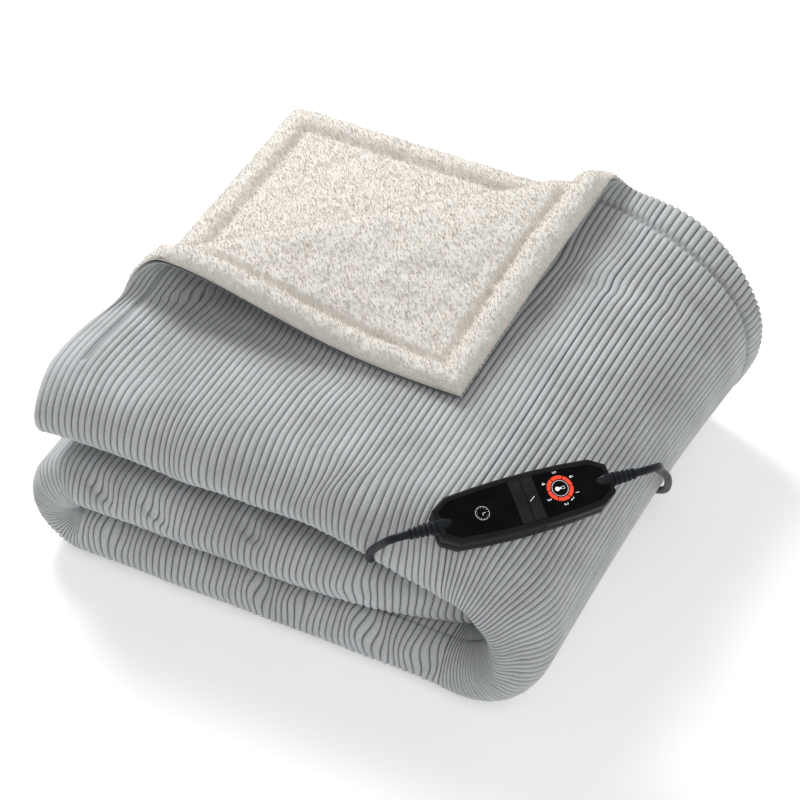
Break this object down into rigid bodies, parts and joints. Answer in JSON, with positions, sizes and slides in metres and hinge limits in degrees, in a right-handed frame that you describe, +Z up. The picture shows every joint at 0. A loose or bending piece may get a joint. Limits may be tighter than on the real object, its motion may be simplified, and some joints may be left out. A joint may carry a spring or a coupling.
{
  "type": "electric heated blanket",
  "caption": "Folded heated throw with a ribbed corduroy face and a sherpa lining, its wired handset lying on top and its mains lead coiled behind.",
  "frame": {"origin": "middle of the folded pack's footprint, on the surface it lies on, leaving out the leads", "axes": "+X along the front of the pack to its right end, +Y to the back, +Z up"},
  "size_m": [0.5083, 0.5932, 0.2241],
  "materials": {
    "corduroy": "wide-wale plush corduroy, light silver grey",
    "sherpa": "short clumpy fleece, cream",
    "housing": "fine matte, dark grey",
    "face": "polished black",
    "keys": "matte, dark grey",
    "cord": "smooth matte black",
    "pins": "nickel-plated"
  },
  "bodies": {
    "root": {"corduroy_cover": "corduroy", "sherpa_lining": "sherpa", "handset_lower_shell": "housing", "handset_upper_shell": "housing", "face_plate_left": "face", "face_plate_right": "face", "handset_side_nub": "keys", "boot_left": "cord", "boot_right": "cord", "blanket_lead": "cord", "mains_lead": "cord", "mains_tail": "cord", "mains_coil": "cord", "coil_tie": "cord", "plug_boot": "cord", "plug_body": "cord", "plug_pin_left": "pins", "plug_pin_right": "pins"},
    "key_left": {"key_left": "keys"},
    "key_right": {"key_right": "keys"}
  },
  "joints": [
    {"name": "key_left_press", "type": "slide", "parent": "root", "child": "key_left", "axis": [-0.3139, 0.2348, -0.9199], "range_m": [0, 0.0008], "stiffness_N_per_m": 800},
    {"name": "key_right_press", "type": "slide", "parent": "root", "child": "key_right", "axis": [-0.3139, 0.2348, -0.9199], "range_m": [0, 0.0008], "stiffness_N_per_m": 800}
  ]
}
